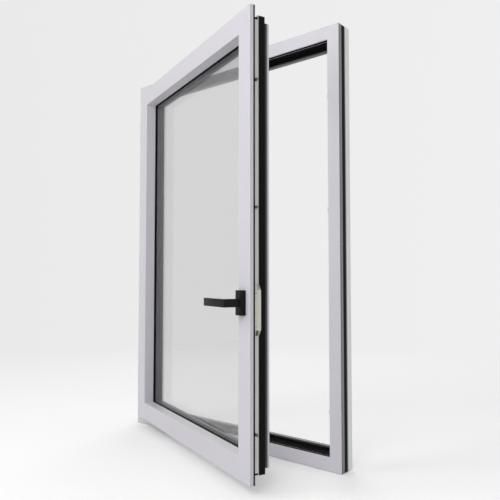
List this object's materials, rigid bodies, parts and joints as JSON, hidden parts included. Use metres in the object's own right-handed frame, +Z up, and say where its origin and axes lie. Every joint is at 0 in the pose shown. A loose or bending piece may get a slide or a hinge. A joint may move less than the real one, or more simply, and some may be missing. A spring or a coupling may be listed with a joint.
{
  "type": "casement window",
  "caption": "Side-hung casement window in thermally broken white profiles, ajar into the room, with an insulating glass unit, black lever handle and sliding lock rails.",
  "frame": {"origin": "middle of the underside of the outer frame, at half the frame's depth", "axes": "+X along the window from the hinge side to the lock side, +Y out of doors, +Z up"},
  "size_m": [0.965, 0.4471, 1.4],
  "materials": {
    "white_profile": "smooth satin powder coat",
    "black_plastic": "fine extruded, matte",
    "black_rubber": "soft matte extrusion",
    "edge_sealant": "dull sealant",
    "mill_aluminium": "mill finish",
    "zinc_plate": "dull zinc plating",
    "lock_rail_metal": "satin, warm grey coating",
    "clear_glass": "clear float glass",
    "black_handle": "matte black powder coat"
  },
  "bodies": {
    "frame": {"frame_inner_sill": "white_profile", "frame_inner_head": "white_profile", "frame_inner_hinge_jamb": "white_profile", "frame_inner_lock_jamb": "white_profile", "frame_outer_sill": "white_profile", "frame_outer_head": "white_profile", "frame_outer_hinge_jamb": "white_profile", "frame_outer_lock_jamb": "white_profile", "frame_thermal_breaks": "black_plastic", "frame_corner_cleats": "mill_aluminium", "central_gasket": "black_rubber", "groove_covers": "black_plastic", "keepers": "zinc_plate", "keeper_screws": "zinc_plate", "drain_caps": "white_profile", "hinge_frame_leaves": "white_profile", "hinge_pins": "zinc_plate", "hinge_washers": "black_plastic", "hinge_frame_screws": "zinc_plate"},
    "sash": {"sash_inner_bottom_rail": "white_profile", "sash_inner_top_rail": "white_profile", "sash_inner_hinge_stile": "white_profile", "sash_inner_lock_stile": "white_profile", "sash_outer_bottom_rail": "white_profile", "sash_outer_top_rail": "white_profile", "sash_outer_hinge_stile": "white_profile", "sash_outer_lock_stile": "white_profile", "sash_thermal_breaks": "black_plastic", "sash_corner_cleats": "mill_aluminium", "overlap_gasket": "black_rubber", "glazing_bead_bottom": "white_profile", "glazing_bead_top": "white_profile", "glazing_bead_hinge_side": "white_profile", "glazing_bead_lock_side": "white_profile", "inner_glazing_gasket": "black_rubber", "outer_glazing_gasket": "black_rubber", "inner_pane": "clear_glass", "outer_pane": "clear_glass", "spacer_bar": "black_plastic", "edge_seal": "edge_sealant", "setting_blocks": "black_plastic", "hinge_sash_leaves": "white_profile", "hinge_sash_screws": "zinc_plate", "gearbox_housing": "zinc_plate", "gearbox_faceplate": "lock_rail_metal", "faceplate_screws": "zinc_plate", "handle_base_plate": "zinc_plate", "handle_rosette": "black_handle", "handle_screws": "zinc_plate"},
    "handle": {"handle_lever": "black_handle", "handle_spindle": "zinc_plate", "gear_pinion": "zinc_plate"},
    "lock_rails": {"gear_rack": "zinc_plate", "upper_lock_rail": "lock_rail_metal", "lower_lock_rail": "lock_rail_metal", "locking_cams": "zinc_plate", "rail_end_caps": "black_plastic"}
  },
  "joints": [
    {"name": "sash_hinge", "type": "hinge", "parent": "frame", "child": "sash", "pos_m": [-0.458, -0.0415, 0.7], "axis": [0, 0, -1], "range_deg": [-20, 70]},
    {"name": "handle_turn", "type": "hinge", "parent": "sash", "child": "handle", "pos_m": [0.35462, -0.34525, 0.527], "axis": [-0.342, -0.9397, 0], "range_deg": [0, 90]},
    {"name": "lock_rail_slide", "type": "slide", "parent": "sash", "child": "lock_rails", "axis": [0, 0, 1], "range_m": [0, 0.01571]}
  ],
  "couplings": [
    {"joint": "lock_rail_slide", "follows": "handle_turn", "m_per_rad": 0.01}
  ]
}
